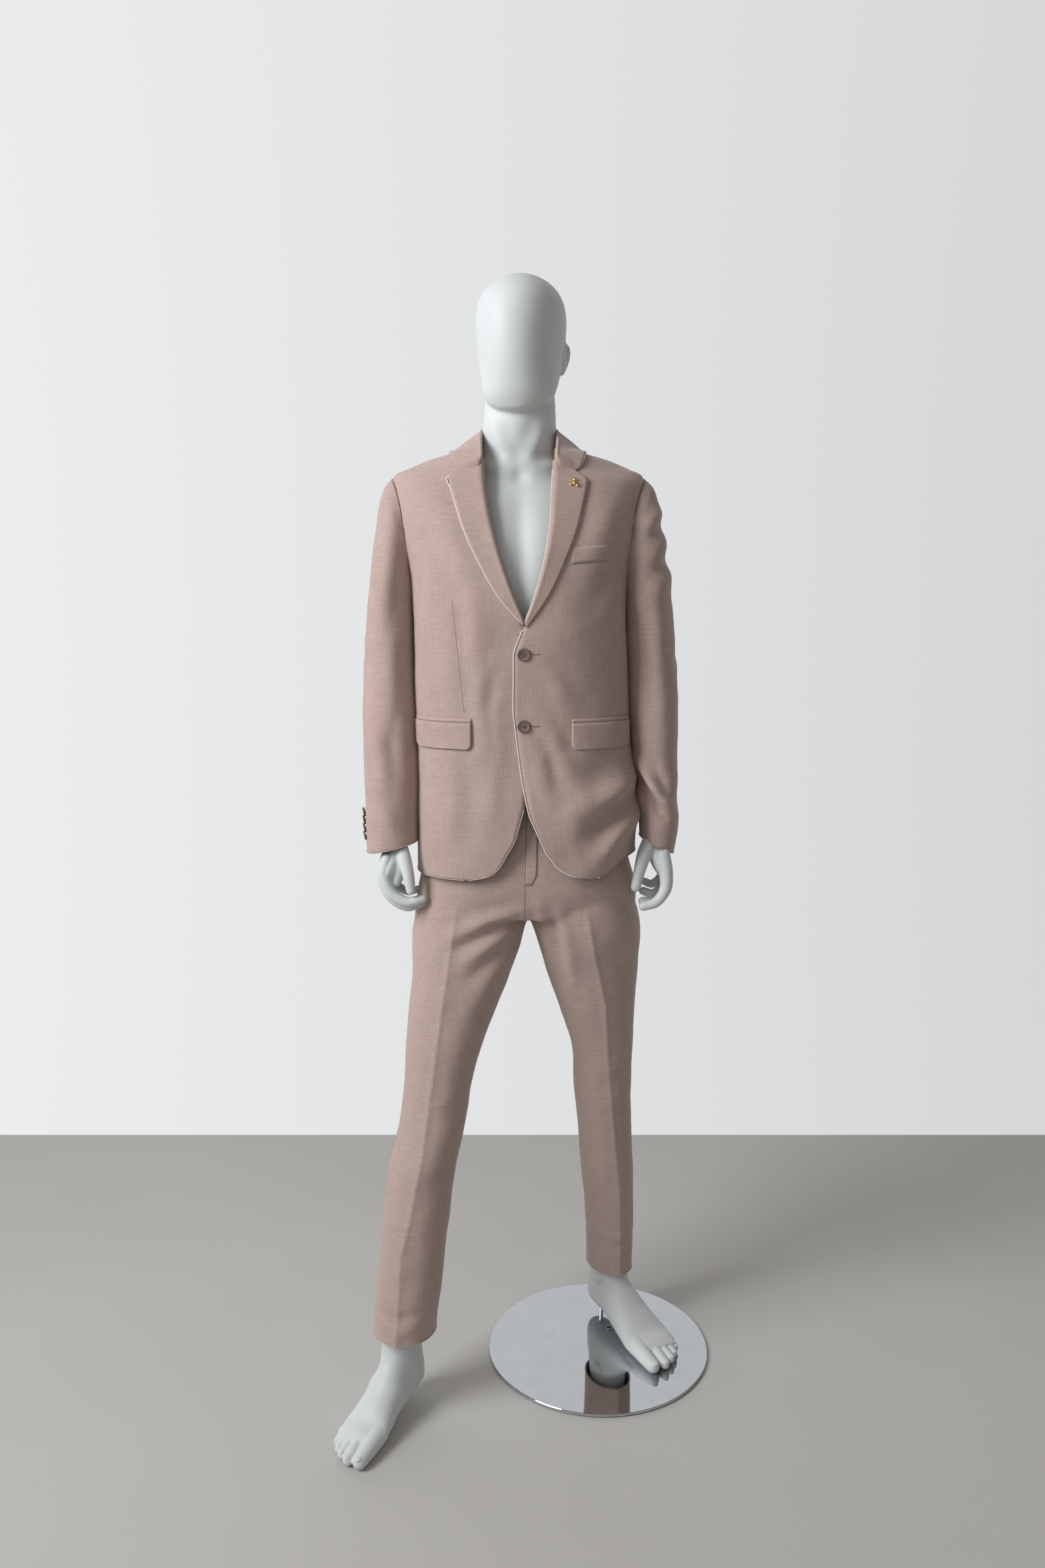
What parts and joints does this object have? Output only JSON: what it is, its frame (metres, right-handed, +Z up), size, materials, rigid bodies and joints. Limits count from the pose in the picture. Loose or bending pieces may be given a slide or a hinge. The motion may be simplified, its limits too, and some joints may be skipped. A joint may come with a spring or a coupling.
{
  "type": "full body mannequin",
  "caption": "Standing male display mannequin in a two-button suit, lifted off a spigot on a round mirror base plate, with turning arms and hands and a waist joint.",
  "frame": {"origin": "centre of the underside of the round base, on the floor", "axes": "+Z up the figure, -Y the way it faces, +X towards its left hand"},
  "size_m": [0.6438, 0.5505, 1.887],
  "materials": {
    "body_shell": "matt spray paint on moulded glass fibre",
    "suit_cloth": "dusty rose linen blend with a fine slubbed weave",
    "front_button": "mauve brown polyester, semi-gloss",
    "cuff_button": "horn brown polyester, semi-gloss",
    "pin_gold": "polished gold plate",
    "base_mirror": "mirror-polished stainless steel",
    "spigot_chrome": "polished chrome plate",
    "fitting_steel": "zinc-plated steel",
    "underlay_rubber": "thin black foam rubber"
  },
  "bodies": {
    "base": {"base_underlay": "underlay_rubber", "base_plate": "base_mirror", "base_spigot": "spigot_chrome", "spigot_screw": "fitting_steel"},
    "lower_body": {"pelvis_shell": "body_shell", "left_leg_shell": "body_shell", "right_leg_shell": "body_shell", "left_hip_plate": "fitting_steel", "right_hip_plate": "fitting_steel", "left_thigh_plate": "fitting_steel", "right_thigh_plate": "fitting_steel", "spigot_socket": "fitting_steel", "spare_socket": "fitting_steel", "waist_socket_plate": "fitting_steel", "trouser_seat": "suit_cloth", "trouser_left_leg": "suit_cloth", "trouser_right_leg": "suit_cloth", "waistband": "suit_cloth", "fly_placket": "suit_cloth"},
    "torso": {"torso_head_shell": "body_shell", "waist_peg_plate": "fitting_steel", "left_shoulder_plate": "fitting_steel", "right_shoulder_plate": "fitting_steel", "jacket_body": "suit_cloth", "jacket_collar": "suit_cloth", "left_lapel": "suit_cloth", "right_lapel": "suit_cloth", "left_pocket_flap": "suit_cloth", "right_pocket_flap": "suit_cloth", "breast_welt": "suit_cloth", "front_buttons": "front_button", "lapel_pin": "pin_gold", "pin_clutch": "pin_gold"},
    "left_arm": {"left_arm_shell": "body_shell", "left_arm_plate": "fitting_steel", "left_sleeve": "suit_cloth", "left_cuff_buttons": "cuff_button", "left_wrist_socket": "fitting_steel"},
    "right_arm": {"right_arm_shell": "body_shell", "right_arm_plate": "fitting_steel", "right_sleeve": "suit_cloth", "right_cuff_buttons": "cuff_button", "right_wrist_socket": "fitting_steel"},
    "left_hand": {"left_hand": "body_shell", "left_wrist_peg": "fitting_steel"},
    "right_hand": {"right_hand": "body_shell", "right_wrist_peg": "fitting_steel"}
  },
  "joints": [
    {"name": "stand_lift", "type": "slide", "parent": "base", "child": "lower_body", "axis": [0, 0, 1], "range_m": [0, 0.11]},
    {"name": "torso_lift", "type": "slide", "parent": "lower_body", "child": "torso", "axis": [0, 0, 1], "range_m": [0, 0.12]},
    {"name": "left_shoulder_swing", "type": "hinge", "parent": "torso", "child": "left_arm", "pos_m": [0.0215, 0.005, 1.49], "axis": [-1, 0, 0], "range_deg": [0, 30]},
    {"name": "right_shoulder_swing", "type": "hinge", "parent": "torso", "child": "right_arm", "pos_m": [-0.3135, 0.005, 1.49], "axis": [-1, 0, 0], "range_deg": [0, 30]},
    {"name": "left_wrist_twist", "type": "hinge", "parent": "left_arm", "child": "left_hand", "pos_m": [0.092, -0.03, 0.985], "axis": [0, 0, 1], "range_deg": [-10, 15]},
    {"name": "right_wrist_twist", "type": "hinge", "parent": "right_arm", "child": "right_hand", "pos_m": [-0.357, -0.038, 0.985], "axis": [0, 0, 1], "range_deg": [-15, 15]}
  ]
}
